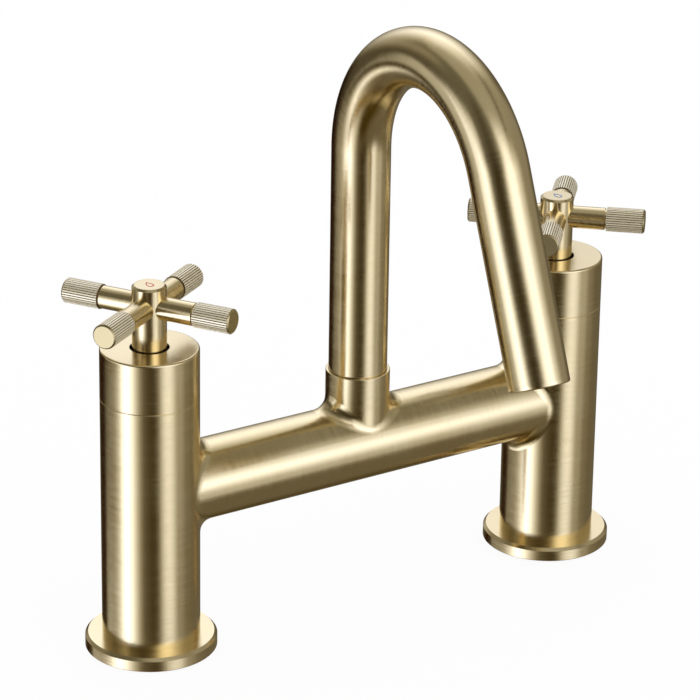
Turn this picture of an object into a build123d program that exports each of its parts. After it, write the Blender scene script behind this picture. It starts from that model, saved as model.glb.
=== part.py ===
from build123d import *

import os
from math import asin, cos, degrees, radians, sin, tan

# Bath filler tap: a deck-mounted bridge mixer. Two pillars carry quarter-turn ceramic valves with
# fluted cross handles, a level bridge tube joins them, and a swan-neck spout swivels in its boss.
# Millimetres, +Z up. The origin is midway between the pillars, on the top face of the bath's deck.
# +X runs along the bridge from the hot pillar to the cold one. The spout reaches forwards, along -Y.

# Clearances, each measured on the radius or between two faces
slip_fit = 0.05
running_fit = 0.06
thread_fit = 0.02
face_gap = 0.05

# Bath deck
deck_thickness = 6.0

# Pillars
pillar_dia = 36.4
pillar_height = 94.2
pillar_seam = 0.15
spigot_dia = 33.0
spigot_lift = 1.0

# Base flanges and their gaskets
flange_dia = 49.0
flange_thickness = 5.3
flange_chamfer = 1.1
gasket_thickness = 1.8
gasket_proud = 0.3
gasket_width = 3.5
gasket_edge = 1.8

# Inlet tails, G 3/4, and what clamps them under the deck. The stretch that the nut grips is drawn at
# the pitch diameter, and the free thread below it in full
tail_thread_dia = 26.44
tail_thread_pitch = 1.814
tail_thread_depth = 1.16
thread_flank_angle = 27.5
tail_shank_dia = 27.0
tail_bore = 18.0
tail_length = 52.0
tail_chamfer = 1.0
tail_spigot_dia = 24.0
tail_spigot_length = 13.0
tail_ring_height = 8.5
thread_below_nut = 2.0
washer_dia = 40.0
washer_thickness = 2.5
washer_play = 0.3
nut_across_flats = 36.0
nut_thickness = 8.0

# Bridge tube, its length measured between the pillars' axes
bridge_length = 180.0
bridge_dia = 29.8
bridge_wall = 4.0
bridge_height = 61.9
bridge_fillet = 5.5

# Spout boss in the middle of the bridge
boss_dia = 24.2
boss_rise = 29.6
boss_fillet = 6.0
boss_rim_round = 0.3
rim_depth = 7.0
rim_gap = 0.15
set_screw_dia = 5.0
set_screw_tip_dia = 4.0
set_screw_socket = 2.5
set_screw_drop = 4.5
set_screw_inset = 0.4

# Waterways inside the pillars
inlet_bore = 16.0
seat_tube_wall = 2.5
chamber_dia = 29.2
chamber_floor = 4.0

# Valve shrouds, the pillars' upper ends
shroud_height = 19.2
shroud_wall = 1.4
shroud_top = 2.5
shroud_round = 0.8
shroud_hole = 14.6
neck_wall = 1.1
neck_height = 4.0

# Ceramic valves
housing_thread_dia = 26.0
housing_thread_length = 12.8
housing_length = 25.8
housing_tube_dia = 23.2
housing_bore = 19.2
hex_across_flats = 27.0
hex_height = 5.5
bonnet_recess = 2.0
bonnet_washer = 0.8
valve_neck_dia = 15.8
valve_neck_height = 5.2
window_width = 10.0
window_height = 6.5
seal_thickness = 3.0
seal_proud = 1.0
seal_width = 1.7
disc_thickness = 3.0
port_inner = 2.6
port_outer = 7.4
port_angle = 62.0
slip_ring = 0.85

# Valve spindles
foot_height = 5.1
foot_slot_width = 9.0
foot_core = 3.0
foot_plate = 1.3
journal_dia = 11.0
shaft_dia = 9.0
spline_dia = 8.0
spline_teeth = 20
spline_depth = 0.35
spindle_ring_section = 1.75
spindle_ring_pitch = 6.0
stop_thickness = 1.5
stop_lug_angle = 60.0
stop_play = 1.0
stop_wall_width = 1.9
circlip_thickness = 0.9
circlip_depth = 0.45
circlip_width = 1.9
circlip_gap_angle = 40.0
quarter_turn = 90.0

# Cross handles
hub_dia = 12.7
hub_chamfer = 0.8
stem_gap = 0.8
hub_socket = 12.5
hub_web = 3.5
arm_height = 16.0
hub_rise = 8.2
arm_dia = 8.5
arm_reach = 33.85
groove_start = 18.6
groove_width = 0.7
groove_dia = 7.4
arm_spigot_dia = 6.2
arm_spigot_length = 12.5
grip_dia = 9.3
grip_chamfer = 0.6
flute_count = 32
flute_depth = 0.3
cap_dia = 10.6
cap_thickness = 2.2
cap_plug = 1.5
handle_screw_dia = 4.0
handle_screw_head_dia = 7.4
handle_screw_head_height = 2.6
handle_screw_length = 11.5
handle_screw_socket = 3.0
screw_well_dia = 9.2

# Spout
tube_dia = 22.0
tube_wall = 1.5
riser_height = 88.0
bend_radius = 44.9
leg_lean = 21.7
leg_length = 76.0
outlet_round = 0.6
ferrule_dia = 19.6
ferrule_bore = 15.0
ferrule_depth = 12.3
ferrule_tube_length = 12.0
ferrule_ring_section = 1.9
thrust_washer = 0.7
spout_swing = 60.0
swing_play = 1.5
outlet_recess = 0.8
insert_length = 14.0
insert_wall = 1.1
straightener_length = 9.0
straightener_rim = 0.45
straightener_rib = 0.45
outlet_seal_thickness = 1.6
outlet_seal_width = 1.6

# How the photographed tap is set, in degrees: the cross handles' arms from the bridge's line, and
# the spout from straight ahead towards the cold pillar
handle_turns = {"hot": 31.6, "cold": 47.8}
spout_turn = 0.0

# Places along the bridge and the way each valve opens, seen from above
stations = {"hot": -1, "cold": 1}
opening_turns = {"hot": quarter_turn, "cold": -quarter_turn}
middle = 0

# Heights that follow from the sizes
flange_top = gasket_proud + flange_thickness
pillar_top = flange_top + pillar_height
shroud_peak = pillar_top + shroud_height
neck_top = pillar_top + neck_height
washer_top = -deck_thickness
nut_top = washer_top - washer_thickness
nut_foot = nut_top - nut_thickness
tail_top = spigot_lift + tail_spigot_length
bonnet_seat = pillar_top - bonnet_recess
hex_foot = bonnet_seat + bonnet_washer
hex_top = hex_foot + hex_height
valve_neck_top = hex_top + valve_neck_height
housing_foot = hex_foot - housing_length
thread_foot = hex_foot - housing_thread_length
valve_seat = housing_foot - seal_proud
fixed_disc_foot = valve_seat + seal_thickness
moving_disc_foot = fixed_disc_foot + disc_thickness
foot_base = moving_disc_foot + disc_thickness
foot_top = foot_base + foot_height
slip_ring_foot = foot_top + face_gap
bore_step = slip_ring_foot + slip_ring
journal_top = hex_top - face_gap - running_fit
stop_foot = valve_neck_top + face_gap
circlip_foot = stop_foot + stop_thickness
stem_foot = circlip_foot + circlip_thickness + stem_gap
spindle_top = stem_foot + hub_socket
web_top = spindle_top + hub_web
arm_axis = shroud_peak + arm_height
hub_top = arm_axis + hub_rise
cap_seat = hub_top - cap_thickness
boss_rim = bridge_height + boss_rise
boss_shoulder = boss_rim - rim_depth
tube_foot = boss_shoulder + thrust_washer
ferrule_foot = boss_shoulder - ferrule_depth
bend_height = boss_rim + riser_height
set_screw_height = boss_shoulder - set_screw_drop

# Radii that follow from the sizes
pillar_r = pillar_dia / 2
neck_bore_r = pillar_r - shroud_wall - neck_wall
neck_r = neck_bore_r + neck_wall
seat_tube_r = inlet_bore / 2 + seat_tube_wall
waterway_r = bridge_dia / 2 - bridge_wall
socket_r = ferrule_dia / 2 + running_fit
rim_bore_r = tube_dia / 2 + rim_gap
tube_bore_r = tube_dia / 2 - tube_wall
grip_start = groove_start + groove_width
grip_length = arm_reach - grip_start


def axis_at(station):
    """Upright axis of the hot pillar (-1), the boss (0) or the cold pillar (1)."""
    return Axis((station * bridge_length / 2, 0, 0), (0, 0, 1))


def level(station, height, turn=0.0):
    """Level plane on an upright axis, its X turned from the bridge's line."""
    x_dir = (cos(radians(turn)), sin(radians(turn)), 0)
    return Plane(origin=(station * bridge_length / 2, 0, height), x_dir=x_dir, z_dir=(0, 0, 1))


def upright(station, turn=0.0):
    """Upright plane through an axis: its X runs out from the axis, and its Y is the height."""
    x_dir = (cos(radians(turn)), sin(radians(turn)), 0)
    z_dir = (sin(radians(turn)), -cos(radians(turn)), 0)
    return Plane(origin=(station * bridge_length / 2, 0, 0), x_dir=x_dir, z_dir=z_dir)


def turned(station, corners):
    """Piece turned about an upright axis from its half section's corners (radius, height)."""
    with BuildPart() as piece:
        with BuildSketch(upright(station)):
            with BuildLine():
                Polyline(*corners, close=True)
            make_face()
        revolve(axis=axis_at(station))
    return piece


def ring(station, inner_r, outer_r, foot, thickness):
    """Flat ring on an upright axis."""
    with BuildPart() as piece:
        with BuildSketch(level(station, foot)):
            Circle(outer_r)
            Circle(inner_r, mode=Mode.SUBTRACT)
        extrude(amount=thickness)
    return piece


def round_rings(station, inner_r, section, heights):
    """Round-section sealing rings on an upright axis, centred at the given heights."""
    with BuildPart() as rings:
        with BuildSketch(upright(station)):
            with Locations(*[(inner_r + section / 2, height) for height in heights]):
                Circle(section / 2)
        revolve(axis=axis_at(station))
    return rings


# Body casting: both pillars, the bridge and the spout's boss
with BuildPart() as bridge_body:
    with BuildSketch(level(stations["hot"], flange_top), level(stations["cold"], flange_top)):
        Circle(pillar_r)
    extrude(amount=pillar_height)
    with BuildSketch(Plane.YZ.offset(-bridge_length / 2)):
        with Locations((0, bridge_height)):
            Circle(bridge_dia / 2)
    extrude(amount=bridge_length)
    saddles = bridge_body.edges().filter_by(GeomType.BSPLINE)
    fillet(saddles, bridge_fillet)
    with BuildSketch(level(middle, bridge_height)):
        Circle(boss_dia / 2)
    extrude(amount=boss_rise)
    fillet(bridge_body.edges(Select.LAST).filter_by(GeomType.BSPLINE), boss_fillet)
    rim = bridge_body.faces().filter_by_position(Axis.Z, boss_rim, boss_rim).edges()
    fillet(rim, boss_rim_round)
    # A fine chamfer round each pillar's top draws the seam under its shroud
    pillar_rims = bridge_body.faces().filter_by_position(Axis.Z, pillar_top, pillar_top).edges()
    chamfer(pillar_rims, pillar_seam)
    # Necks that the shrouds screw on, and spigots that the base flanges slip over
    with BuildSketch(level(stations["hot"], pillar_top), level(stations["cold"], pillar_top)):
        Circle(neck_r)
    extrude(amount=neck_height)
    with BuildSketch(level(stations["hot"], spigot_lift), level(stations["cold"], spigot_lift)):
        Circle(spigot_dia / 2)
    extrude(amount=flange_top - spigot_lift)
    # Inside of each pillar: tail socket, inlet bore up to the seat, water chamber round it, valve bore
    for station in stations.values():
        with BuildSketch(upright(station)):
            with BuildLine():
                Polyline(
                    (0, spigot_lift),
                    (tail_spigot_dia / 2 + slip_fit, spigot_lift),
                    (tail_spigot_dia / 2 + slip_fit, tail_top + face_gap),
                    (inlet_bore / 2, tail_top + face_gap),
                    (inlet_bore / 2, valve_seat),
                    (seat_tube_r, valve_seat),
                    (seat_tube_r, bridge_height - waterway_r - chamber_floor),
                    (chamber_dia / 2, bridge_height - waterway_r - chamber_floor),
                    (chamber_dia / 2, thread_foot),
                    (housing_thread_dia / 2 + thread_fit, thread_foot),
                    (housing_thread_dia / 2 + thread_fit, bonnet_seat),
                    (neck_bore_r, bonnet_seat),
                    (neck_bore_r, neck_top),
                    (0, neck_top),
                    close=True,
                )
            make_face()
        revolve(axis=axis_at(station), mode=Mode.SUBTRACT)
    # Waterway along the bridge, open into both chambers but clear of the seat tubes
    waterway_end = bridge_length / 2 - seat_tube_r - running_fit
    with BuildSketch(Plane.YZ.offset(-waterway_end)):
        with Locations((0, bridge_height)):
            Circle(waterway_r)
    extrude(amount=2 * waterway_end, mode=Mode.SUBTRACT)
    # Socket for the spout's ferrule, with a wider mouth for the tube
    with BuildSketch(upright(middle)):
        with BuildLine():
            Polyline(
                (0, bridge_height),
                (socket_r, bridge_height),
                (socket_r, boss_shoulder),
                (rim_bore_r, boss_shoulder),
                (rim_bore_r, boss_rim),
                (0, boss_rim),
                close=True,
            )
        make_face()
    revolve(axis=axis_at(middle), mode=Mode.SUBTRACT)
    # Tapped hole for the spout's set screw, in the back of the boss
    with BuildSketch(Plane(origin=(0, 0, set_screw_height), x_dir=(1, 0, 0), z_dir=(0, 1, 0))):
        Circle(set_screw_dia / 2 + thread_fit)
    extrude(amount=boss_dia, mode=Mode.SUBTRACT)


# Pieces of the pillars and under the deck
def make_base_flange(station):
    """Chamfered seating flange with a recess for its gasket in the underside."""
    outer_r = flange_dia / 2
    gasket_r = outer_r - gasket_edge
    return turned(
        station,
        [
            (spigot_dia / 2 + slip_fit, gasket_proud),
            (gasket_r - gasket_width, gasket_proud),
            (gasket_r - gasket_width, gasket_thickness),
            (gasket_r, gasket_thickness),
            (gasket_r, gasket_proud),
            (outer_r - gasket_proud, gasket_proud),
            (outer_r, 2 * gasket_proud),
            (outer_r, flange_top - flange_chamfer),
            (outer_r - flange_chamfer, flange_top),
            (spigot_dia / 2 + slip_fit, flange_top),
        ],
    )


def make_flange_gasket(station):
    """Rubber ring that seals the flange to the deck."""
    outer_r = flange_dia / 2 - gasket_edge
    return ring(station, outer_r - gasket_width, outer_r, 0, gasket_thickness)


def thread_corners(foot, top):
    """Corners (radius, height) of the free thread, drawn as turned grooves between two heights."""
    crest_r = tail_thread_dia / 2
    root_r = crest_r - tail_thread_depth
    flank_rise = tail_thread_depth * tan(radians(thread_flank_angle))
    land = (tail_thread_pitch - 2 * flank_rise) / 2
    corners = []
    for groove in range(int((top - foot - land) // tail_thread_pitch)):
        start = foot + land + groove * tail_thread_pitch
        corners += [(crest_r, start), (root_r, start + flank_rise)]
        corners += [(root_r, start + flank_rise + land), (crest_r, start + 2 * flank_rise + land)]
    return corners


def make_inlet_tail(station):
    """Threaded tail: spigot with a ring groove, plain shank through the deck, thread, bore."""
    thread_r = tail_thread_dia / 2
    engaged_r = (tail_thread_dia - tail_thread_depth) / 2
    shank_r = tail_shank_dia / 2
    spigot_r = tail_spigot_dia / 2
    shank_foot = spigot_lift - deck_thickness
    thread_start = tail_chamfer - tail_length
    thread_end = nut_foot - thread_below_nut
    groove_foot = spigot_lift + tail_ring_height
    groove_top = groove_foot + spindle_ring_section + 2 * slip_fit
    groove_r = spigot_r - spindle_ring_section + slip_fit
    return turned(
        station,
        [
            (tail_bore / 2, -tail_length),
            (thread_r - tail_chamfer, -tail_length),
            (thread_r, thread_start),
            *thread_corners(thread_start, thread_end),
            (thread_r, thread_end),
            (engaged_r, thread_end),
            (engaged_r, shank_foot),
            (shank_r, shank_foot),
            (shank_r, spigot_lift),
            (spigot_r, spigot_lift),
            (spigot_r, groove_foot),
            (groove_r, groove_foot),
            (groove_r, groove_top),
            (spigot_r, groove_top),
            (spigot_r, tail_top),
            (tail_bore / 2, tail_top),
        ],
    )


def make_tail_ring(station):
    """Round sealing ring between the tail's spigot and the pillar."""
    groove_r = tail_spigot_dia / 2 - spindle_ring_section + slip_fit
    height = spigot_lift + tail_ring_height + slip_fit + spindle_ring_section / 2
    return round_rings(station, groove_r, spindle_ring_section, [height])


def make_deck_washer(station):
    """Fibre washer under the deck."""
    return ring(station, tail_thread_dia / 2 + washer_play, washer_dia / 2, nut_top, washer_thickness)


def make_back_nut(station):
    """Hexagonal back nut that clamps the pillar to the deck."""
    with BuildPart() as nut:
        with BuildSketch(level(station, nut_foot)):
            RegularPolygon(nut_across_flats / 2, 6, major_radius=False)
            Circle((tail_thread_dia - tail_thread_depth) / 2 + thread_fit, mode=Mode.SUBTRACT)
        extrude(amount=nut_thickness)
    return nut


def make_shroud(station):
    """Cylindrical cover of the valve, screwed on the pillar's neck, with a hole for the stem."""
    with BuildPart() as shroud:
        with BuildSketch(upright(station)):
            with BuildLine():
                Polyline(
                    (neck_r + slip_fit, pillar_top),
                    (pillar_r - pillar_seam, pillar_top),
                    (pillar_r, pillar_top + pillar_seam),
                    (pillar_r, shroud_peak),
                    (shroud_hole / 2, shroud_peak),
                    (shroud_hole / 2, shroud_peak - shroud_top),
                    (pillar_r - shroud_wall, shroud_peak - shroud_top),
                    (pillar_r - shroud_wall, neck_top + face_gap),
                    (neck_r + slip_fit, neck_top + face_gap),
                    close=True,
                )
            make_face()
        revolve(axis=axis_at(station))
        fillet(shroud.faces().sort_by(Axis.Z)[-1].outer_wire().edges(), shroud_round)
    return shroud


# Pieces of the valves that stay still
def make_valve_housing(station, turn, opening):
    """Brass valve body: slotted tube, thread, hexagon, neck, and the wall that stops the spindle."""
    tube_r = housing_tube_dia / 2
    thread_r = housing_thread_dia / 2
    shaft_r = shaft_dia / 2 + running_fit
    journal_r = journal_dia / 2 + running_fit
    with BuildPart() as housing:
        with BuildSketch(level(station, hex_foot, turn)):
            RegularPolygon(hex_across_flats / 2, 6, major_radius=False)
        extrude(amount=hex_height)
        with BuildSketch(level(station, hex_top)):
            Circle(valve_neck_dia / 2)
        extrude(amount=valve_neck_height)
        with BuildSketch(level(station, thread_foot)):
            Circle(thread_r)
        extrude(amount=housing_thread_length)
        with BuildSketch(level(station, housing_foot)):
            Circle(tube_r)
        extrude(amount=thread_foot - housing_foot)
        with BuildSketch(upright(station)):
            with BuildLine():
                Polyline(
                    (0, housing_foot),
                    (housing_bore / 2, housing_foot),
                    (housing_bore / 2, bore_step),
                    (journal_r, bore_step),
                    (journal_r, hex_top),
                    (shaft_r, hex_top),
                    (shaft_r, valve_neck_top),
                    (0, valve_neck_top),
                    close=True,
                )
            make_face()
        revolve(axis=axis_at(station), mode=Mode.SUBTRACT)
        # Outlet windows on both sides, level with the spindle's foot
        window_middle = foot_base + foot_height - foot_plate - window_height / 2
        with BuildSketch(upright(station, turn + quarter_turn)):
            with Locations((0, window_middle)):
                Rectangle(window_width, window_height)
        extrude(amount=tube_r, both=True, mode=Mode.SUBTRACT)
        # The stop wall leaves room for the spindle's lug to turn a quarter turn
        lug_edge = stop_lug_angle / 2 + stop_play
        start = turn + max(opening, 0) + lug_edge
        wall_arc = 360 - abs(opening) - 2 * lug_edge
        neck_outer = valve_neck_dia / 2
        with BuildSketch(upright(station, start)):
            with Locations((neck_outer - stop_wall_width / 2, valve_neck_top + stop_thickness / 2)):
                Rectangle(stop_wall_width, stop_thickness)
        revolve(axis=axis_at(station), revolution_arc=wall_arc)
    return housing


def make_bonnet_washer(station):
    """Fibre washer under the valve's hexagon."""
    inner_r = housing_thread_dia / 2 + slip_fit
    return ring(station, inner_r, neck_bore_r - slip_fit, bonnet_seat, bonnet_washer)


def make_seat_seal(station):
    """Rubber ring in the mouth of the valve, pressed on the seat."""
    outer_r = housing_bore / 2 - slip_fit
    return ring(station, outer_r - seal_width, outer_r, valve_seat, seal_thickness)


def make_slip_ring(station):
    """Acetal ring that the spindle's foot turns against."""
    inner_r = journal_dia / 2 + 2 * running_fit
    return ring(station, inner_r, housing_bore / 2 - slip_fit, slip_ring_foot, slip_ring)


def make_disc(station, foot, turn, outer_r):
    """Ceramic disc with two curved ports."""
    middle_r = (port_inner + port_outer) / 2
    with BuildPart() as disc:
        with BuildSketch(level(station, foot, turn)):
            Circle(outer_r)
            for side in (0, 180):
                port = CenterArc((0, 0), middle_r, side - port_angle / 2, port_angle)
                SlotArc(port, port_outer - port_inner, mode=Mode.SUBTRACT)
        extrude(amount=disc_thickness)
    return disc


# Pieces that turn with a handle
def make_spindle(station, turn):
    """Valve spindle: slotted foot, journal with two ring grooves, shaft, splined and tapped end."""
    journal_r = journal_dia / 2
    shaft_r = shaft_dia / 2
    spline_r = spline_dia / 2
    ring_groove_r = journal_r + running_fit - spindle_ring_section - slip_fit
    corners = [(0, foot_base), (housing_bore / 2 - 2 * running_fit, foot_base)]
    corners += [(housing_bore / 2 - 2 * running_fit, foot_top), (journal_r, foot_top)]
    for height in spindle_ring_heights():
        half = spindle_ring_section / 2 + slip_fit
        corners += [(journal_r, height - half), (ring_groove_r, height - half)]
        corners += [(ring_groove_r, height + half), (journal_r, height + half)]
    corners += [(journal_r, journal_top), (shaft_r, journal_top)]
    corners += [(shaft_r, circlip_foot), (shaft_r - circlip_depth, circlip_foot)]
    corners += [(shaft_r - circlip_depth, circlip_foot + circlip_thickness)]
    corners += [(shaft_r, circlip_foot + circlip_thickness), (shaft_r, stem_foot - face_gap)]
    corners += [(spline_r, stem_foot - face_gap), (spline_r, spindle_top), (0, spindle_top)]
    with BuildPart() as spindle:
        with BuildSketch(upright(station)):
            with BuildLine():
                Polyline(*corners, close=True)
            make_face()
        revolve(axis=axis_at(station))
        # Two passages lead the water from the disc's ports to the windows
        reach = housing_bore / 2
        with BuildSketch(level(station, foot_base, turn + quarter_turn)):
            with Locations((foot_core + reach / 2, 0), (-foot_core - reach / 2, 0)):
                Rectangle(reach, foot_slot_width)
        extrude(amount=foot_height - foot_plate, mode=Mode.SUBTRACT)
        with BuildSketch(level(station, stem_foot, turn)):
            with PolarLocations(spline_r, spline_teeth):
                RegularPolygon(spline_depth, 4)
        extrude(amount=hub_socket, mode=Mode.SUBTRACT)
        with BuildSketch(level(station, spindle_top)):
            Circle(handle_screw_dia / 2 + thread_fit)
        extrude(amount=-(handle_screw_length - hub_web + face_gap), mode=Mode.SUBTRACT)
    return spindle


def spindle_ring_heights():
    """Heights of the two sealing rings on the spindle's journal."""
    middle_height = (bore_step + journal_top) / 2
    return [middle_height - spindle_ring_pitch / 2, middle_height + spindle_ring_pitch / 2]


def make_spindle_rings(station):
    """Two round sealing rings on the spindle."""
    inner_r = journal_dia / 2 + running_fit - spindle_ring_section - slip_fit
    return round_rings(station, inner_r, spindle_ring_section, spindle_ring_heights())


def make_stop_ring(station, turn):
    """Ring on the spindle whose lug meets the housing's stop wall at both ends of the turn."""
    inner_r = shaft_dia / 2
    wall_r = valve_neck_dia / 2 - stop_wall_width
    lug_r = valve_neck_dia / 2 - slip_fit
    with BuildPart() as stop:
        with BuildSketch(level(station, stop_foot)):
            Circle(wall_r - slip_fit)
            Circle(inner_r, mode=Mode.SUBTRACT)
        extrude(amount=stop_thickness)
        middle_r = (inner_r + wall_r - slip_fit) / 2
        with BuildSketch(upright(station, turn - stop_lug_angle / 2)):
            with Locations(((middle_r + lug_r) / 2, stop_foot + stop_thickness / 2)):
                Rectangle(lug_r - middle_r, stop_thickness)
        revolve(axis=axis_at(station), revolution_arc=stop_lug_angle)
    return stop


def make_circlip(station, turn):
    """Open spring ring in the spindle's groove, above the stop ring."""
    inner_r = shaft_dia / 2 - circlip_depth
    middle_r = inner_r + circlip_width / 2
    with BuildPart() as circlip:
        with BuildSketch(upright(station, turn + 180 + circlip_gap_angle / 2)):
            with Locations((middle_r, circlip_foot + circlip_thickness / 2)):
                Rectangle(circlip_width, circlip_thickness)
        revolve(axis=axis_at(station), revolution_arc=360 - circlip_gap_angle)
    return circlip


def arm_planes(station, turn, distance):
    """Planes square to the four arms, at a distance from the hub's axis, facing outwards."""
    planes = []
    for quarter in range(4):
        angle = radians(turn + 90 * quarter)
        out = Vector(cos(angle), sin(angle), 0)
        origin = Vector(station * bridge_length / 2, 0, arm_axis) + out * distance
        planes.append(Plane(origin=origin, x_dir=(0, 0, 1), z_dir=out))
    return planes


def make_cross(station, turn):
    """Hub and stem with four round arms, each ending in a spigot for its grip."""
    hub_r = hub_dia / 2
    with BuildPart() as cross:
        with BuildSketch(level(station, stem_foot)):
            Circle(hub_r)
        extrude(amount=hub_top - stem_foot)
        chamfer(cross.faces().sort_by(Axis.Z)[-1].edges(), hub_chamfer)
        with BuildSketch(*arm_planes(station, turn, 0)):
            Circle(arm_dia / 2)
        extrude(amount=groove_start)
        with BuildSketch(*arm_planes(station, turn, groove_start)):
            Circle(groove_dia / 2)
        extrude(amount=groove_width)
        with BuildSketch(*arm_planes(station, turn, grip_start)):
            Circle(arm_spigot_dia / 2)
        extrude(amount=arm_spigot_length)
        # Inside of the hub: spindle socket, web under the screw's head, screw well, cap recess
        with BuildSketch(upright(station)):
            with BuildLine():
                Polyline(
                    (0, stem_foot),
                    (spline_dia / 2 + slip_fit, stem_foot),
                    (spline_dia / 2 + slip_fit, spindle_top),
                    (handle_screw_dia / 2 + slip_fit, spindle_top),
                    (handle_screw_dia / 2 + slip_fit, web_top),
                    (screw_well_dia / 2, web_top),
                    (screw_well_dia / 2, cap_seat),
                    (cap_dia / 2, cap_seat),
                    (cap_dia / 2, hub_top),
                    (0, hub_top),
                    close=True,
                )
            make_face()
        revolve(axis=axis_at(station), mode=Mode.SUBTRACT)
    return cross


def make_grips(station, turn):
    """Four fluted grips, pushed on the arms' spigots."""
    grip_r = grip_dia / 2
    with BuildPart() as grips:
        with BuildSketch(*arm_planes(station, turn, grip_start)):
            Circle(grip_r)
            with PolarLocations(grip_r, flute_count):
                RegularPolygon(flute_depth, 4, mode=Mode.SUBTRACT)
        extrude(amount=grip_length)
        with BuildSketch(*arm_planes(station, turn, grip_start)):
            Circle(arm_spigot_dia / 2 + slip_fit)
        extrude(amount=arm_spigot_length + face_gap, mode=Mode.SUBTRACT)
        # A turned chamfer round each outer end
        for plane in arm_planes(station, turn, arm_reach):
            section = Plane(origin=plane.origin, x_dir=(0, 0, 1), z_dir=plane.z_dir.cross(Vector(0, 0, 1)))
            with BuildSketch(section):
                with BuildLine():
                    Polyline(
                        (grip_r - grip_chamfer, 0),
                        (grip_r + grip_chamfer, 0),
                        (grip_r + grip_chamfer, -2 * grip_chamfer),
                        close=True,
                    )
                make_face()
            revolve(axis=Axis(plane.origin, plane.z_dir), mode=Mode.SUBTRACT)
    return grips


def make_index_cap(station):
    """Flat button in the hub's top, with a plug that fits the screw well."""
    return turned(
        station,
        [
            (0, cap_seat - cap_plug),
            (screw_well_dia / 2 - slip_fit, cap_seat - cap_plug),
            (screw_well_dia / 2 - slip_fit, cap_seat),
            (cap_dia / 2 - slip_fit, cap_seat),
            (cap_dia / 2 - slip_fit, hub_top),
            (0, hub_top),
        ],
    )


def make_handle_screw(station):
    """Socket screw that holds the handle down on its spindle."""
    with BuildPart() as screw:
        with BuildSketch(level(station, web_top)):
            Circle(handle_screw_head_dia / 2)
        extrude(amount=handle_screw_head_height)
        with BuildSketch(level(station, web_top)):
            Circle(handle_screw_dia / 2)
        extrude(amount=-handle_screw_length)
        with BuildSketch(level(station, web_top + handle_screw_head_height)):
            RegularPolygon(handle_screw_socket / 2, 6, major_radius=False)
        extrude(amount=-handle_screw_head_height / 2, mode=Mode.SUBTRACT)
    return screw


# Spout: the path runs up the riser, over the bend and down the leaning leg
spout_upright = upright(middle, spout_turn - 90)
with BuildLine(spout_upright) as spout_path:
    riser = Line((0, tube_foot), (0, bend_height))
    bend = CenterArc((bend_radius, bend_height), bend_radius, 180, leg_lean - 180)
    leg = PolarLine(bend @ 1, leg_length, direction=(sin(radians(leg_lean)), -cos(radians(leg_lean))))
outlet_end = Plane(origin=spout_path.line @ 1, x_dir=spout_upright.z_dir, z_dir=spout_path.line % 1)

with BuildPart() as spout_tube:
    with BuildSketch(level(middle, tube_foot)):
        Circle(tube_dia / 2)
        Circle(tube_bore_r, mode=Mode.SUBTRACT)
    sweep(path=spout_path.line)
    mouth = spout_tube.faces().sort_by_distance(outlet_end.origin)[0]
    fillet(mouth.outer_wire().edges(), outlet_round)

# The ferrule is fixed in the foot of the tube and turns in the boss
ferrule_r = ferrule_dia / 2
ferrule_groove_r = ferrule_r + running_fit - ferrule_ring_section - slip_fit
screw_groove_r = boss_dia / 2 - set_screw_inset - (boss_dia / 2 - socket_r) - 1.1
ring_height = ferrule_foot + ferrule_ring_section
with BuildPart() as spout_ferrule:
    with BuildSketch(upright(middle)):
        with BuildLine():
            Polyline(
                (ferrule_bore / 2, ferrule_foot),
                (ferrule_r, ferrule_foot),
                (ferrule_r, ring_height - ferrule_ring_section / 2 - slip_fit),
                (ferrule_groove_r, ring_height - ferrule_ring_section / 2 - slip_fit),
                (ferrule_groove_r, ring_height + ferrule_ring_section / 2 + slip_fit),
                (ferrule_r, ring_height + ferrule_ring_section / 2 + slip_fit),
                (ferrule_r, tube_foot),
                (tube_bore_r - slip_fit, tube_foot),
                (tube_bore_r - slip_fit, tube_foot + ferrule_tube_length),
                (ferrule_bore / 2, tube_foot + ferrule_tube_length),
                close=True,
            )
        make_face()
    revolve(axis=axis_at(middle))
    # The set screw's tip runs in this groove, and its ends stop the spout's swing
    tip_half_angle = degrees(asin(set_screw_tip_dia / 2 / screw_groove_r))
    groove_arc = 2 * (spout_swing + swing_play + tip_half_angle)
    groove_half_height = set_screw_tip_dia / 2 + rim_gap
    with BuildSketch(upright(middle, 90 + spout_turn - groove_arc / 2)):
        with BuildLine():
            Polyline(
                (screw_groove_r, set_screw_height - groove_half_height),
                (ferrule_dia, set_screw_height - groove_half_height),
                (ferrule_dia, set_screw_height + groove_half_height),
                (screw_groove_r, set_screw_height + groove_half_height),
                close=True,
            )
        make_face()
    revolve(axis=axis_at(middle), revolution_arc=groove_arc, mode=Mode.SUBTRACT)

ferrule_ring = round_rings(middle, ferrule_groove_r, ferrule_ring_section, [ring_height])
spout_washer = ring(middle, ferrule_r + running_fit, rim_bore_r - slip_fit, boss_shoulder, thrust_washer)

# Set screw in the back of the boss
set_screw_back = boss_dia / 2 - set_screw_inset
tip_start = socket_r
with BuildPart() as spout_set_screw:
    with BuildSketch(Plane(origin=(0, tip_start, set_screw_height), x_dir=(1, 0, 0), z_dir=(0, 1, 0))):
        Circle(set_screw_dia / 2)
    extrude(amount=set_screw_back - tip_start)
    with BuildSketch(Plane(origin=(0, tip_start, set_screw_height), x_dir=(1, 0, 0), z_dir=(0, 1, 0))):
        Circle(set_screw_tip_dia / 2)
    extrude(amount=-(tip_start - screw_groove_r - rim_gap))
    with BuildSketch(Plane(origin=(0, set_screw_back, set_screw_height), x_dir=(1, 0, 0), z_dir=(0, 1, 0))):
        RegularPolygon(set_screw_socket / 2, 6, major_radius=False)
    extrude(amount=-(set_screw_back - tip_start) / 2, mode=Mode.SUBTRACT)

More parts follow.
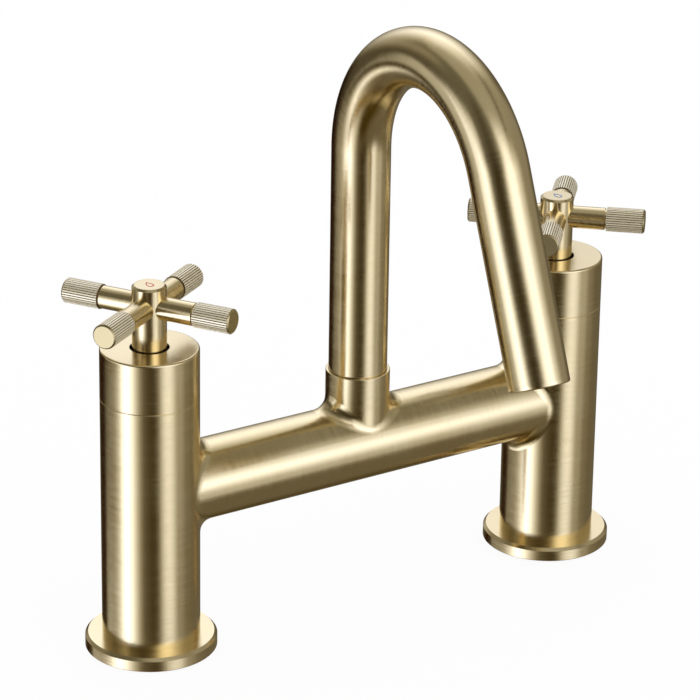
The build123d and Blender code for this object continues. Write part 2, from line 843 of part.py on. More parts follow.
# Outlet: a threaded insert in the end of the tube holds the flow straightener on its seal
insert_r = tube_bore_r - slip_fit
insert_bore_r = tube_bore_r - insert_wall
with BuildPart() as outlet_insert:
    with BuildSketch(outlet_end.offset(-outlet_recess)):
        Circle(insert_r)
        Circle(insert_bore_r, mode=Mode.SUBTRACT)
    extrude(amount=-insert_length)
    with BuildSketch(outlet_end.offset(-outlet_recess - insert_length)):
        Circle(insert_r)
        Circle(insert_bore_r - outlet_seal_width, mode=Mode.SUBTRACT)
    extrude(amount=outlet_seal_thickness)

with BuildPart() as outlet_seal:
    with BuildSketch(outlet_end.offset(outlet_seal_thickness - outlet_recess - insert_length)):
        Circle(insert_bore_r - slip_fit)
        Circle(insert_bore_r - outlet_seal_width, mode=Mode.SUBTRACT)
    extrude(amount=outlet_seal_thickness)

straightener_foot = 2 * outlet_seal_thickness - outlet_recess - insert_length
straightener_r = insert_bore_r - slip_fit
straightener_cell = (2 * (straightener_r - straightener_rim) - 4 * straightener_rib) / 5
with BuildPart() as flow_straightener:
    with BuildSketch(outlet_end.offset(straightener_foot)):
        Circle(straightener_r)
        for cells_in_row, row in ((3, -2), (4, -1), (5, 0), (4, 1), (3, 2)):
            pitch = straightener_cell + straightener_rib
            with Locations((0, row * pitch * sin(radians(60)))):
                with GridLocations(pitch, 1, cells_in_row, 1):
                    apothem = straightener_cell / 2
                    RegularPolygon(apothem, 6, major_radius=False, rotation=30, mode=Mode.SUBTRACT)
    extrude(amount=straightener_length)

# Every piece, named and written
pieces = {
    "bridge_body": bridge_body,
    "spout_tube": spout_tube,
    "spout_ferrule": spout_ferrule,
    "spout_ferrule_ring": ferrule_ring,
    "spout_thrust_washer": spout_washer,
    "spout_set_screw": spout_set_screw,
    "outlet_insert": outlet_insert,
    "outlet_seal": outlet_seal,
    "flow_straightener": flow_straightener,
}
for name, station in stations.items():
    turn = handle_turns[name]
    disc_r = housing_bore / 2 - slip_fit
    pieces[f"{name}_base_flange"] = make_base_flange(station)
    pieces[f"{name}_flange_gasket"] = make_flange_gasket(station)
    pieces[f"{name}_inlet_tail"] = make_inlet_tail(station)
    pieces[f"{name}_tail_ring"] = make_tail_ring(station)
    pieces[f"{name}_deck_washer"] = make_deck_washer(station)
    pieces[f"{name}_back_nut"] = make_back_nut(station)
    pieces[f"{name}_shroud"] = make_shroud(station)
    pieces[f"{name}_valve_housing"] = make_valve_housing(station, turn, opening_turns[name])
    pieces[f"{name}_bonnet_washer"] = make_bonnet_washer(station)
    pieces[f"{name}_seat_seal"] = make_seat_seal(station)
    pieces[f"{name}_slip_ring"] = make_slip_ring(station)
    pieces[f"{name}_fixed_disc"] = make_disc(station, fixed_disc_foot, turn, disc_r)
    pieces[f"{name}_moving_disc"] = make_disc(
        station, moving_disc_foot, turn + quarter_turn, disc_r - running_fit
    )
    pieces[f"{name}_spindle"] = make_spindle(station, turn)
    pieces[f"{name}_spindle_rings"] = make_spindle_rings(station)
    pieces[f"{name}_stop_ring"] = make_stop_ring(station, turn)
    pieces[f"{name}_circlip"] = make_circlip(station, turn)
    pieces[f"{name}_cross"] = make_cross(station, turn)
    pieces[f"{name}_grips"] = make_grips(station, turn)
    pieces[f"{name}_handle_screw"] = make_handle_screw(station)
    pieces[f"{name}_index_cap"] = make_index_cap(station)

os.makedirs("parts", exist_ok=True)
for name, piece in pieces.items():
    piece.part.label = name
    export_step(piece.part, f"parts/{name}.step")
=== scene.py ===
"""Looks of a bath filler tap in satin brass, set up as a plain studio picture.

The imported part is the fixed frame: its nodes stay where they are and get their finishes here. The
spout's tube, the fluted grips and the threaded tails are rebuilt from the same sizes with finer
meshes, and the hubs get their hot and cold marks. Metres, +Z up. The origin is midway between the
pillars on the deck, +X runs from the hot pillar to the cold one, and the spout reaches along -Y.
"""

import logging
import math
from dataclasses import dataclass
from enum import Enum

import bmesh
import bpy
from mathutils import Matrix, Vector


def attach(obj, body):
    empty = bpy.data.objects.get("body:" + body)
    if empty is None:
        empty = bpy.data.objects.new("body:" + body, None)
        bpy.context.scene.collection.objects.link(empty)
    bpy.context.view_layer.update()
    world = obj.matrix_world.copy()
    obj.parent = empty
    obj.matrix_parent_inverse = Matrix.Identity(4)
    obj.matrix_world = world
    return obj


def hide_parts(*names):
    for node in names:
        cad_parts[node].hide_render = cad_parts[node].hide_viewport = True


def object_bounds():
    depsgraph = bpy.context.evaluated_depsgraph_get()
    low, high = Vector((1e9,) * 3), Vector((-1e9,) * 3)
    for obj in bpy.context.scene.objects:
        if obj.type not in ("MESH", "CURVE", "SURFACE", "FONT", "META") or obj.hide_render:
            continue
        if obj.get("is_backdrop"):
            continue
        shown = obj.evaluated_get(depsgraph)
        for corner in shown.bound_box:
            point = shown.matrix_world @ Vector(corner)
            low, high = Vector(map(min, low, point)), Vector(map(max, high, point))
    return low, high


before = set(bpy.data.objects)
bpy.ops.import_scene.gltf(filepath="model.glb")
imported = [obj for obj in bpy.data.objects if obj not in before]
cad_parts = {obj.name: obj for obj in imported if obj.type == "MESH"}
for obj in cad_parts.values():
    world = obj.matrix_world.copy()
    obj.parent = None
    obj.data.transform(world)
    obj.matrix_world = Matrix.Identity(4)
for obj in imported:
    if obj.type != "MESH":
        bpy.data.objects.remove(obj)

log = logging.getLogger("bath_filler")

Colour = tuple[float, float, float]
Span = tuple[float, float]
Point = tuple[float, float, float]

WHITE: Colour = (1.0, 1.0, 1.0)
FULL_TURN = 2 * math.pi
PILLAR_STATION = 0.090
ARM_AXIS_HEIGHT = 0.1350
GRIP_RADIUS = 0.00465
MERGE_DISTANCE = 1e-6
WELD_DISTANCE = 1e-7
NOISE_SPAN: Span = (0.3, 0.7)
SHARP_EDGE = math.radians(30.0)


class Side(Enum):
    """The two pillars, by the water they carry."""

    HOT = "hot"
    COLD = "cold"

    @property
    def station(self) -> float:
        """Where the pillar's axis stands along the bridge."""
        return -PILLAR_STATION if self is Side.HOT else PILLAR_STATION

    @property
    def arm_turn(self) -> float:
        """Angle of the cross handle's first arm from the bridge's line, in degrees."""
        return 31.6 if self is Side.HOT else 47.8

    @property
    def handle_body(self) -> str:
        """Body that turns with this side's handle."""
        return f"{self.value}_handle"


# ---------------------------------------------------------------------------------------------
# Node trees
# ---------------------------------------------------------------------------------------------


class Signal:
    """One output of a node. Python arithmetic on it adds Math nodes."""

    def __init__(self, bench: "Bench", socket: bpy.types.NodeSocket) -> None:
        """Wraps a socket of the bench's tree."""
        self.bench = bench
        self.socket = socket

    def _math(self, operation: str, *values: "Signal | float") -> "Signal":
        """Adds one Math node."""
        return self.bench.signal("ShaderNodeMath", dict(enumerate(values)), operation=operation)

    def __add__(self, other: "Signal | float") -> "Signal":
        """Sum."""
        return self._math("ADD", self, other)

    def __radd__(self, other: float) -> "Signal":
        """Sum with a number on the left."""
        return self._math("ADD", other, self)

    def __sub__(self, other: "Signal | float") -> "Signal":
        """Difference."""
        return self._math("SUBTRACT", self, other)

    def __rsub__(self, other: float) -> "Signal":
        """Difference from a number on the left."""
        return self._math("SUBTRACT", other, self)

    def __mul__(self, other: "Signal | float") -> "Signal":
        """Product."""
        return self._math("MULTIPLY", self, other)

    def __rmul__(self, other: float) -> "Signal":
        """Product with a number on the left."""
        return self._math("MULTIPLY", other, self)

    def __pow__(self, power: float) -> "Signal":
        """Power."""
        return self._math("POWER", self, power)

    def __truediv__(self, other: "Signal | float") -> "Signal":
        """Quotient."""
        return self._math("DIVIDE", self, other)

    def __gt__(self, other: "Signal | float") -> "Signal":
        """1 where this is greater, otherwise 0."""
        return self._math("GREATER_THAN", self, other)

    def __lt__(self, other: "Signal | float") -> "Signal":
        """1 where this is less, otherwise 0."""
        return self._math("LESS_THAN", self, other)

    def __abs__(self) -> "Signal":
        """Size without its sign."""
        return self._math("ABSOLUTE", self)

    def sine(self) -> "Signal":
        """Sine of an angle in radians."""
        return self._math("SINE", self)

    def cosine(self) -> "Signal":
        """Cosine of an angle in radians."""
        return self._math("COSINE", self)

    def along(self, way: Vector) -> "Signal":
        """How far this vector reaches along a direction."""
        values = {0: self, 1: tuple(way)}
        return self.bench.signal("ShaderNodeVectorMath", values, "Value", operation="DOT_PRODUCT")

    def least(self, other: "Signal | float") -> "Signal":
        """The smaller of the two."""
        return self._math("MINIMUM", self, other)

    def most(self, other: "Signal | float") -> "Signal":
        """The larger of the two."""
        return self._math("MAXIMUM", self, other)

    def folded(self, width: float) -> "Signal":
        """Triangle wave between 0 and width."""
        return self._math("PINGPONG", self, width)

    def ramped(self, low: float, high: float) -> "Signal":
        """Smooth step.

        Args:
            low: Where the result is 0.
            high: Where the result is 1. It may be less than low.

        Returns:
            The result, between 0 and 1.
        """
        values = {"Value": self, "From Min": low, "From Max": high}
        return self.bench.signal("ShaderNodeMapRange", values, interpolation_type="SMOOTHSTEP")


class Bench:
    """A node tree and the one method that adds nodes to it."""

    def __init__(self, tree: bpy.types.NodeTree) -> None:
        """Works on a tree that exists."""
        self.tree = tree

    def node(self, kind: str, inputs: dict | None = None, **settings: object) -> bpy.types.Node:
        """Adds a node.

        Args:
            kind: The node's type.
            inputs: Values or Signals by the input's name or place.
            settings: The node's own settings, set first.

        Returns:
            The new node.
        """
        made = self.tree.nodes.new(kind)
        for name, value in settings.items():
            setattr(made, name, value)
        for key, value in (inputs or {}).items():
            if isinstance(value, Signal):
                self.tree.links.new(value.socket, made.inputs[key])
            else:
                made.inputs[key].default_value = value
        return made

    def signal(
        self, kind: str, inputs: dict | None = None, output: str | int = 0, **settings: object
    ) -> Signal:
        """Adds a node and gives one of its outputs.

        Args:
            kind: The node's type.
            inputs: Values or Signals by the input's name or place.
            output: The output's name or place.
            settings: The node's own settings.

        Returns:
            The output.
        """
        return Signal(self, self.node(kind, inputs, **settings).outputs[output])

    def parts(self, vector: Signal) -> tuple[Signal, Signal, Signal]:
        """The X, Y and Z of a vector."""
        split = self.node("ShaderNodeSeparateXYZ", {0: vector})
        return tuple(Signal(self, split.outputs[axis]) for axis in range(3))

    def joined(self, x: Signal | float, y: Signal | float, z: Signal | float) -> Signal:
        """A vector from three numbers."""
        return self.signal("ShaderNodeCombineXYZ", {0: x, 1: y, 2: z})

    def blended(self, factor: Signal | float, first: object, second: object) -> Signal:
        """Colour mix.

        Args:
            factor: 0 gives the first colour and 1 the second.
            first: Colour or Signal.
            second: Colour or Signal.

        Returns:
            The mixed colour.
        """
        full = [(*tone, 1.0) if isinstance(tone, tuple) else tone for tone in (first, second)]
        values = {0: factor, 6: full[0], 7: full[1]}
        return self.signal("ShaderNodeMix", values, output=2, data_type="RGBA")

    def noise(self, place: Signal, scale: float, detail: float = 3.0) -> Signal:
        """Even noise, most of it within NOISE_SPAN.

        Args:
            place: Where it is read.
            scale: Cycles for one unit of place.
            detail: How many finer layers it has.

        Returns:
            The noise's value.
        """
        values = {"Vector": place, "Scale": scale, "Detail": detail, "Roughness": 0.5}
        return self.signal("ShaderNodeTexNoise", values, noise_dimensions="3D")

    def surface(
        self, tone: Signal, metallic: Signal | float, rough: Signal, height: Signal, depth: float
    ) -> None:
        """Ends a material's tree with its relief and its shader.

        Args:
            tone: The colour.
            metallic: 1 for metal and 0 for everything else.
            rough: The roughness.
            height: The relief, between 0 and 1.
            depth: What the whole of the relief measures, in metres.
        """
        bump = {"Height": height, "Strength": 1.0, "Distance": depth}
        looks = {
            "Base Color": tone,
            "Metallic": metallic,
            "Roughness": rough,
            "Normal": self.signal("ShaderNodeBump", bump, "Normal"),
        }
        shade = self.signal("ShaderNodeBsdfPrincipled", looks)
        self.node("ShaderNodeOutputMaterial", {"Surface": shade})


def cleared(made: bpy.types.Material | bpy.types.World) -> Bench:
    """Empties the tree of a new material or world.

    Args:
        made: The material or world.

    Returns:
        The bench to build its tree on.
    """
    made.use_nodes = True
    made.node_tree.nodes.clear()
    return Bench(made.node_tree)


# ---------------------------------------------------------------------------------------------
# Finishes
# ---------------------------------------------------------------------------------------------


class Lay(Enum):
    """Which way the brushing runs over a piece."""

    ROUND_PILLARS = "round both pillars, the bridge and the boss"
    ROUND_UPRIGHT = "round an upright axis"
    ROUND_ARMS = "round a hub and its arms"
    ROUND_TUBE = "round the spout's tube"


@dataclass(frozen=True)
class SatinBrass:
    """Pale brass, brushed to a satin gloss with fine lines that run round each piece.

    The last four spans are the places between which one lay of the lines blends into the next. On
    a flat top the lines become rings: the distance from the axis, times top_slant, adds to height.
    """

    name: str
    lay: Lay
    station: float = 0.0
    colour: Colour = (0.90, 0.755, 0.45)
    deep_colour: Colour = (0.86, 0.70, 0.39)
    gloss_low: float = 0.155
    gloss_high: float = 0.255
    line_length: float = 0.012
    line_pitch: float = 0.00016
    line_depth: float = 0.000032
    band_length: float = 0.022
    band_pitch: float = 0.0007
    cloud_scale: float = 55.0
    cloud_span: Span = (0.25, 0.75)
    gloss_span: Span = (0.35, 0.65)
    cloud_tone: float = 0.55
    cloud_gloss: float = 0.3
    top_slant: float = 0.83
    bridge_end: Span = (0.0725, 0.0695)
    boss_side: Span = (0.0150, 0.0120)
    boss_foot: Span = (0.0745, 0.0775)
    hub_edge: Span = (0.0060, 0.0066)

    def lines(self, place: Signal) -> Signal:
        """Height of the brush lines.

        Args:
            place: Where it is asked for.

        Returns:
            Even noise, slow along a line and quick across it.
        """
        bench = place.bench
        x, y, z = bench.parts(place)
        if self.lay is Lay.ROUND_TUBE:
            along = bench.signal("ShaderNodeAttribute", output="Fac", attribute_name="along")
            return self._scored(x, y + z, along)
        if self.lay is Lay.ROUND_PILLARS:
            upright, level = self._scored(x, y, z), self._scored(y, z, x)
            off_boss = 1.0 - abs(x).ramped(*self.boss_side) * z.ramped(*self.boss_foot)
            on_bridge = abs(x).ramped(*self.bridge_end) * off_boss
            return upright + on_bridge * (level - upright)
        off = x - self.station
        away = (off * off + y * y) ** 0.5
        turned = self._scored(off, y, z + away * self.top_slant)
        if self.lay is Lay.ROUND_ARMS:
            on_arms = self._scored(off, y + z, away)
            return turned + away.ramped(*self.hub_edge) * (on_arms - turned)
        return turned

    def _scored(self, first: Signal, second: Signal, across: Signal) -> Signal:
        """Fine lines over broad bands: noise that is slow along them and quick across them.

        Args:
            first: A place along the lines.
            second: The other place along the lines.
            across: The place across the lines.

        Returns:
            The noise, between 0 and 1.
        """
        sizes = ((self.line_length, self.line_pitch), (self.band_length, self.band_pitch))
        fine, broad = (
            across.bench.joined(first * (1.0 / length), second * (1.0 / length), across / pitch)
            for length, pitch in sizes
        )
        return (across.bench.noise(fine, 1.0) + across.bench.noise(broad, 1.0)) * 0.5

    def tone(self, place: Signal, share: Signal) -> Signal:
        """The metal's colour.

        Args:
            place: Where it is asked for.
            share: 0 for the deep colour and 1 for the pale one.

        Returns:
            The colour.
        """
        return place.bench.blended(share, self.deep_colour, self.colour)

    def metal(self, place: Signal) -> Signal | float:
        """How far the surface is bare metal."""
        return 1.0

    def material(self) -> bpy.types.Material:
        """Builds the finish.

        Returns:
            The material.
        """
        made = bpy.data.materials.new(self.name)
        bench = cleared(made)
        place = bench.signal("ShaderNodeTexCoord", output="Object")
        lines = self.lines(place)
        clouds = bench.noise(place, self.cloud_scale)
        pale = clouds.ramped(*self.cloud_span) * self.cloud_tone
        pale = pale + lines.ramped(*NOISE_SPAN) * (1.0 - self.cloud_tone)
        dull = clouds.ramped(*NOISE_SPAN) * self.cloud_gloss
        dull = dull + lines.ramped(*self.gloss_span) * (1.0 - self.cloud_gloss)
        rough = self.gloss_low + (self.gloss_high - self.gloss_low) * dull
        bench.surface(self.tone(place, pale), self.metal(place), rough, lines, self.line_depth)
        return made


@dataclass(frozen=True)
class FlutedBrass(SatinBrass):
    """Brass of the grips: blasted pale, darkened at the bottoms of the flutes as painted shade,
    bare at the ends.
    """

    colour: Colour = (0.95, 0.86, 0.64)
    deep_colour: Colour = (0.92, 0.82, 0.58)
    gloss_low: float = 0.30
    gloss_high: float = 0.36
    line_depth: float = 0.000013
    arm_turn: float = 0.0
    flutes_end: float = 0.0332
    # Painted shade in the flutes: the colour the groove bottoms darken to, from groove_edge to
    # groove_bottom below the grip's radius.
    groove_edge: float = 0.00004
    groove_bottom: float = 0.00020
    bare_share: float = 0.55
    flute_shade_colour: Colour = (0.20, 0.145, 0.075)
    end_colour: Colour = (0.56, 0.46, 0.235)

    def reach(self, place: Signal) -> tuple[Signal, Signal]:
        """Where a point is on its arm.

        Args:
            place: The point.

        Returns:
            Its distance along the arm from the hub's axis, and its distance from the arm's axis.
        """
        x, y, z = place.bench.parts(place)
        turn = math.radians(self.arm_turn)
        off, up = x - self.station, z - ARM_AXIS_HEIGHT
        first = abs(off * math.cos(turn) + y * math.sin(turn))
        second = abs(y * math.cos(turn) - off * math.sin(turn))
        level = first.least(second)
        return first.most(second), (level * level + up * up) ** 0.5

    def tone(self, place: Signal, share: Signal) -> Signal:
        """The metal's colour, with painted shade that darkens the bottoms of the flutes.

        Args:
            place: Where it is asked for.
            share: 0 for the deep colour and 1 for the pale one.

        Returns:
            The colour.
        """
        along, radius = self.reach(place)
        # Painted shade: the colour darkens towards the flutes' bottoms and stands in for the shade
        # in the grooves.
        deep = radius.ramped(GRIP_RADIUS - self.groove_edge, GRIP_RADIUS - self.groove_bottom)
        fluted = place.bench.blended(deep, super().tone(place, share), self.flute_shade_colour)
        return place.bench.blended(along > self.flutes_end, fluted, self.end_colour)

    def metal(self, place: Signal) -> Signal | float:
        """How far the surface is bare metal."""
        along, _ = self.reach(place)
        return (along > self.flutes_end) * (1.0 - self.bare_share) + self.bare_share


@dataclass(frozen=True)
class Moulded:
    """A plain substance with clouds of colour and a fine grain: rubber, plastic, fibre, steel."""

    name: str
    colour: Colour
    second_colour: Colour
    roughness: float
    metallic: float = 0.0
    cloud_scale: float = 400.0
    grain_scale: float = 5000.0
    grain_depth: float = 0.00001
    cloud_gloss: float = 0.12
    grain_gloss: float = 0.1

    def material(self) -> bpy.types.Material:
        """Builds the finish.

        Returns:
            The material.
        """
        made = bpy.data.materials.new(self.name)
        bench = cleared(made)
        place = bench.signal("ShaderNodeTexCoord", output="Object")
        clouds = bench.noise(place, self.cloud_scale, 4.0)
        grain = bench.noise(place, self.grain_scale, 2.0)
        tone = bench.blended(clouds.ramped(*NOISE_SPAN), self.colour, self.second_colour)
        rough = self.roughness + (clouds - 0.5) * self.cloud_gloss
        rough = rough + (grain - 0.5) * self.grain_gloss
        bench.surface(tone, self.metallic, rough, grain, self.grain_depth)
        return made


class Finishes:
    """Every finish of the tap, made once and handed out by name."""

    def __init__(self) -> None:
        """Makes the materials."""
        self.body = SatinBrass("satin_brass_body", Lay.ROUND_PILLARS).material()
        self.tube = SatinBrass("satin_brass_tube", Lay.ROUND_TUBE).material()
        self.turned = {
            side: SatinBrass(
                f"satin_brass_turned_{side.value}",
                Lay.ROUND_UPRIGHT,
                side.station,
                line_depth=0.000026,
            ).material()
            for side in Side
        }
        self.cross = {
            side: SatinBrass(
                f"satin_brass_cross_{side.value}", Lay.ROUND_ARMS, side.station
            ).material()
            for side in Side
        }
        self.grip = {
            side: FlutedBrass(
                f"satin_brass_grip_{side.value}",
                Lay.ROUND_ARMS,
                side.station,
                arm_turn=side.arm_turn,
            ).material()
            for side in Side
        }
        metals = (
            ("plain_brass", "machined_brass", (0.78, 0.58, 0.27), (0.70, 0.50, 0.22), 0.30, 1.0),
            ("steel", "stainless_steel", (0.62, 0.61, 0.59), (0.55, 0.54, 0.53), 0.28, 1.0),
        )
        others = (
            ("black_rubber", "sealing_rubber", (0.020, 0.020, 0.021), (0.034, 0.033, 0.033), 0.62),
            ("white_acetal", "white_acetal", (0.78, 0.77, 0.74), (0.72, 0.71, 0.68), 0.40),
            ("grey_plastic", "grey_plastic", (0.34, 0.35, 0.36), (0.30, 0.31, 0.32), 0.42),
            ("fibre", "pressed_fibre", (0.36, 0.10, 0.06), (0.26, 0.07, 0.05), 0.82, 0.0, 900.0),
            ("ceramic", "white_ceramic", (0.80, 0.79, 0.75), (0.76, 0.75, 0.71), 0.12),
        )
        self.by_slot = {slot: Moulded(*looks).material() for slot, *looks in metals + others}
        self.marks = {
            side: Moulded(*looks).material()
            for side, *looks in (
                (Side.HOT, "red_enamel", (0.62, 0.06, 0.035), (0.54, 0.05, 0.03), 0.30),
                (Side.COLD, "blue_enamel", (0.05, 0.20, 0.55), (0.04, 0.17, 0.48), 0.30),
            )
        }


# ---------------------------------------------------------------------------------------------
# Meshes
# ---------------------------------------------------------------------------------------------


def finished(name: str, mesh: bpy.types.Mesh, material: bpy.types.Material) -> bpy.types.Object:
    """Makes an object at the origin from a mesh: outward faces, smooth but for its sharp edges.

    Args:
        name: The piece's name.
        mesh: Its mesh, in the part's frame.
        material: Its finish.

    Returns:
        The object, linked to the scene.
    """
    work = bmesh.new()
    work.from_mesh(mesh)
    bmesh.ops.remove_doubles(work, verts=work.verts, dist=WELD_DISTANCE)
    bmesh.ops.recalc_face_normals(work, faces=work.faces)
    for face in work.faces:
        face.smooth = True
    for edge in work.edges:
        edge.smooth = len(edge.link_faces) == 2 and edge.calc_face_angle(0.0) < SHARP_EDGE
    work.to_mesh(mesh)
    work.free()
    mesh.name = name
    mesh.materials.clear()
    mesh.materials.append(material)
    piece = bpy.data.objects.new(name, mesh)
    bpy.context.scene.collection.objects.link(piece)
    return piece


class Recipe(Bench):
    """Geometry Nodes tree with named inputs, which ends in Realize Instances and Set Material."""

    def __init__(self, name: str) -> None:
        """Starts an empty tree with a geometry input and output.

        Args:
            name: The tree's name.
        """
        tree = bpy.data.node_groups.new(name, "GeometryNodeTree")
        super().__init__(tree)
        tree.interface.new_socket("Geometry", in_out="INPUT", socket_type="NodeSocketGeometry")
        tree.interface.new_socket("Geometry", in_out="OUTPUT", socket_type="NodeSocketGeometry")
        self.entry = tree.nodes.new("NodeGroupInput")
        self.sizes: dict[str, str] = {}

    def size(self, name: str, kind: str = "Float") -> Signal:
        """Adds a named input.

        Args:
            name: The input's name.
            kind: Float or Int, as its socket type is called.

        Returns:
            The input's value.
        """
        socket = f"NodeSocket{kind}"
        item = self.tree.interface.new_socket(name, in_out="INPUT", socket_type=socket)
        self.sizes[name] = item.identifier
        return Signal(self, self.entry.outputs[name])

    def rolled_grid(self, around: Signal, last_row: Signal) -> tuple[Signal, Signal, Signal]:
        """A grid to be rolled round an axis.

        Args:
            around: Its faces round the axis.
            last_row: Its faces along the axis.

        Returns:
            The grid, the share of a turn at each point and the number of its row.
        """
        counts = {"Vertices X": around + 1.0, "Vertices Y": last_row + 1.0}
        grid = self.node("GeometryNodeMeshGrid", {"Size X": 1.0, "Size Y": 1.0, **counts})
        u, v, _ = self.parts(Signal(self, grid.outputs["UV Map"]))
        return Signal(self, grid.outputs["Mesh"]), u, v * last_row

    def merged(self, geometry: Signal) -> Signal:
        """The shape with points that lie on each other made one."""
        values = {"Geometry": geometry, "Distance": MERGE_DISTANCE}
        return self.signal("GeometryNodeMergeByDistance", values)

    def repeated(
        self, geometry: Signal, count: Signal, axis: str, start: Signal | float
    ) -> Signal:
        """Copies of a shape, evenly spaced round an axis through the origin.

        Args:
            geometry: The shape.
            count: How many there are.
            axis: X, Y or Z.
            start: Angle of the first, in radians.

        Returns:
            The copies, made real.
        """
        index = self.signal("GeometryNodeInputIndex")
        angle = start + index * FULL_TURN / count
        turn = self.joined(*[angle if name == axis else 0.0 for name in "XYZ"])
        points = self.signal("GeometryNodePoints", {"Count": count})
        rotation = self.signal("FunctionNodeEulerToRotation", {0: turn})
        placed = {"Points": points, "Instance": geometry, "Rotation": rotation}
        copies = self.signal("GeometryNodeInstanceOnPoints", placed)
        return self.signal("GeometryNodeRealizeInstances", {0: copies})

    def close(self, geometry: Signal, material: bpy.types.Material) -> None:
        """Ends the tree.

        Args:
            geometry: What has been made.
            material: The finish it gets.
        """
        real = self.signal("GeometryNodeRealizeInstances", {0: geometry})
        dressed = self.signal("GeometryNodeSetMaterial", {"Geometry": real, "Material": material})
        self.node("NodeGroupOutput", {0: dressed})

    def mesh(self, source: bpy.types.Mesh | None = None, **values: object) -> bpy.types.Mesh:
        """Runs the tree and gives its result as a plain mesh.

        Args:
            source: The mesh that goes in, if the tree uses one.
            values: The named inputs, with spaces written as underscores.

        Returns:
            A mesh without modifiers.
        """
        holder = bpy.data.objects.new("recipe", source or bpy.data.meshes.new("recipe"))
        bpy.context.scene.collection.objects.link(holder)
        step = holder.modifiers.new("recipe", "NODES")
        step.node_group = self.tree
        for name, value in values.items():
            step[self.sizes[name.replace("_", " ")]] = value
        bpy.context.view_layer.update()
        graph = bpy.context.evaluated_depsgraph_get()
        made = bpy.data.meshes.new_from_object(holder.evaluated_get(graph))
        bpy.data.objects.remove(holder)
        return made


def skinned(name: str, rings: list[list[Point]], bare_edge: int | None = None) -> bpy.types.Mesh:
    """Skin over rings of points that follow each other.

    Args:
        name: The mesh's name.
        rings: The points, in order along each ring. Each ring is closed.
        bare_edge: An edge of the rings that gets no faces. With one, the last ring isn't joined
            to the first.

    Returns:
        The mesh.
    """
    count, last = len(rings[0]), len(rings)
    faces = [
        (
            ring * count + step,
            ring * count + (step + 1) % count,
            (ring + 1) % last * count + (step + 1) % count,
            (ring + 1) % last * count + step,
        )
        for ring in range(last if bare_edge is None else last - 1)
        for step in range(count)
        if step != bare_edge
    ]
    made = bpy.data.meshes.new(name)
    made.from_pydata([point for ring in rings for point in ring], [], faces)
    return made


def spun(profile: list[Span], station: float, count: int) -> bpy.types.Mesh:
    """Closed body of revolution about an upright axis.

    Args:
        profile: Corners (radius, height) of its section, in order.
        station: Where the axis stands along the bridge.
        count: Segments round the axis.

    Returns:
        The mesh.
    """
    turns = [FULL_TURN * step / count for step in range(count)]
    rings = [
        [(station + radius * math.cos(turn), radius * math.sin(turn), height) for turn in turns]
        for radius, height in profile
    ]
    return skinned("spun", rings)


# ---------------------------------------------------------------------------------------------
# Sub-assemblies
# ---------------------------------------------------------------------------------------------


@dataclass
class Spout:
    """Swan-neck tube: up the riser, over the bend and down the leaning leg."""

    radius: float = 0.010997
    bore_radius: float = 0.0095
    foot: float = 0.0852
    bend_height: float = 0.1795
    bend_radius: float = 0.0449
    lean: float = 21.7
    leg: float = 0.0760
    outlet_round: float = 0.0006
    round_rows: int = 6
    rows: int = 200
    around: int = 128

    def recipe(self, material: bpy.types.Material) -> Recipe:
        """Tree of the tube: one grid is laid along the path, out on the wall and back inside it.

        Args:
            material: The tube's finish.

        Returns:
            The tree.
        """
        tree = Recipe("swan_neck_tube")
        radius, bore = tree.size("Radius"), tree.size("Bore radius")
        foot, bend_height = tree.size("Foot"), tree.size("Bend height")
        bend_radius, sweep = tree.size("Bend radius"), tree.size("Sweep")
        leg, rows = tree.size("Leg"), tree.size("Rows", "Int")
        rounding, steps = tree.size("Rounding"), tree.size("Rounding rows", "Int")
        around = tree.size("Around", "Int")
        # Rows follow the outer wall, round the outlet's rim and return inside. The last closes it.
        last_row = rows * 2.0 + steps + 2.0
        sheet, share, row = tree.rolled_grid(around, last_row)
        turn = share * FULL_TURN
        closing = row > last_row - 0.5
        inside = (row > rows + steps + 0.5) * (row < last_row - 0.5)
        riser = bend_height - foot
        arc = bend_radius * sweep
        whole = riser + arc + leg
        edge = ((row - rows) / steps).most(0.0).least(1.0) * (math.pi / 2)
        outer_run = (whole - rounding) * row.least(rows) / rows + rounding * edge.sine()
        outer_wall = radius - rounding * (1.0 - edge.cosine())
        inner_run = whole * (last_row - 1.0 - row) / rows
        run = (outer_run + inside * (inner_run - outer_run)) * (1.0 - closing)
        bent = ((run - riser) / bend_radius).most(0.0).least(sweep)
        last = (run - riser - arc).most(0.0)
        out = bend_radius * (1.0 - bent.cosine()) + last * sweep.sine()
        up = foot + run.least(riser) + bend_radius * bent.sine() + last * sweep.cosine()
        wall = outer_wall + inside * (bore - outer_wall) + closing * (radius - outer_wall)
        reach = wall * turn.cosine()
        place = tree.joined(
            wall * turn.sine(), -1.0 * (out + reach * bent.cosine()), up - reach * bent.sine()
        )
        laid = tree.signal("GeometryNodeSetPosition", {"Geometry": sheet, "Position": place})
        marked = tree.signal(
            "GeometryNodeStoreNamedAttribute",
            {"Geometry": laid, "Name": "along", "Value": run},
            data_type="FLOAT",
            domain="POINT",
        )
        tree.close(tree.merged(marked), material)
        return tree

    def build(self, finishes: Finishes) -> None:
        """Makes the tube.

        Args:
            finishes: The tap's finishes.
        """
        mesh = self.recipe(finishes.tube).mesh(
            Radius=self.radius,
            Bore_radius=self.bore_radius,
            Foot=self.foot,
            Bend_height=self.bend_height,
            Bend_radius=self.bend_radius,
            Sweep=math.radians(180.0 - self.lean),
            Leg=self.leg,
            Rounding=self.outlet_round,
            Rounding_rows=self.round_rows,
            Rows=self.rows,
            Around=self.around,
        )
        tube = finished("swan_neck", mesh, finishes.tube)
        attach(tube, "spout")
        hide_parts("spout_tube")
        log.info("swan_neck: %d faces", len(mesh.polygons))


